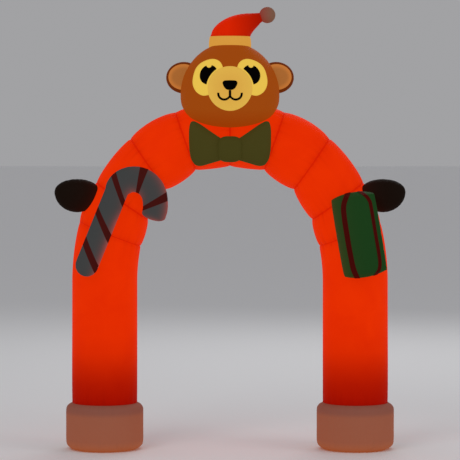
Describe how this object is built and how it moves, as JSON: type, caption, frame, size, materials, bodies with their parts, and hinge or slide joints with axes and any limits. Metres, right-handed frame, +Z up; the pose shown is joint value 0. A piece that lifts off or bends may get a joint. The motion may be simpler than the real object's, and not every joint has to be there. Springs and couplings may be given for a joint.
{
  "type": "inflatable arch",
  "caption": "Free-standing inflatable arch of sewn tube panels on padded foot cuffs, topped by an animal head in a hat, with a bow tie, paws, a candy cane and a gift box.",
  "frame": {"origin": "on the ground, in the middle of the object's plan box, halfway between the two feet", "axes": "+Z up, +X to the right seen from the front, and the face looks towards -Y"},
  "size_m": [2.364, 0.7369, 2.991],
  "materials": {
    "red_cloth": "satin red nylon, lit from inside",
    "white_cloth": "satin white nylon",
    "brown_cloth": "satin brown nylon, lit from inside",
    "tan_cloth": "satin tan nylon, lit from inside",
    "yellow_cloth": "satin yellow nylon, lit from inside",
    "green_cloth": "satin dark green nylon",
    "olive_cloth": "satin dark olive nylon",
    "ribbon_cloth": "satin dark red ribbon",
    "black_cloth": "satin black nylon",
    "dark_brown_cloth": "satin dark brown nylon"
  },
  "bodies": {
    "root": {"crown_panel_left": "red_cloth", "crown_panel_right": "red_cloth", "shoulder_panel_left": "red_cloth", "shoulder_panel_right": "red_cloth", "elbow_panel_left": "red_cloth", "elbow_panel_right": "red_cloth", "hip_panel_left": "red_cloth", "hip_panel_right": "red_cloth", "leg_left": "red_cloth", "leg_right": "red_cloth", "hat_horn": "red_cloth", "foot_cuff_left": "white_cloth", "foot_cuff_right": "white_cloth", "hat_pompom": "white_cloth", "candy_cane": "white_cloth", "head": "brown_cloth", "ear_left": "brown_cloth", "ear_right": "brown_cloth", "ear_lining_left": "tan_cloth", "ear_lining_right": "tan_cloth", "muzzle": "tan_cloth", "hat_band": "tan_cloth", "eye_patch_left": "yellow_cloth", "eye_patch_right": "yellow_cloth", "gift_box": "green_cloth", "bow_lobe_left": "olive_cloth", "bow_lobe_right": "olive_cloth", "bow_knot": "olive_cloth", "gift_ribbon_left": "ribbon_cloth", "gift_ribbon_right": "ribbon_cloth", "eye_left": "black_cloth", "eye_right": "black_cloth", "nose": "black_cloth", "mouth": "black_cloth", "paw_left": "dark_brown_cloth", "paw_right": "dark_brown_cloth"}
  },
  "joints": []
}
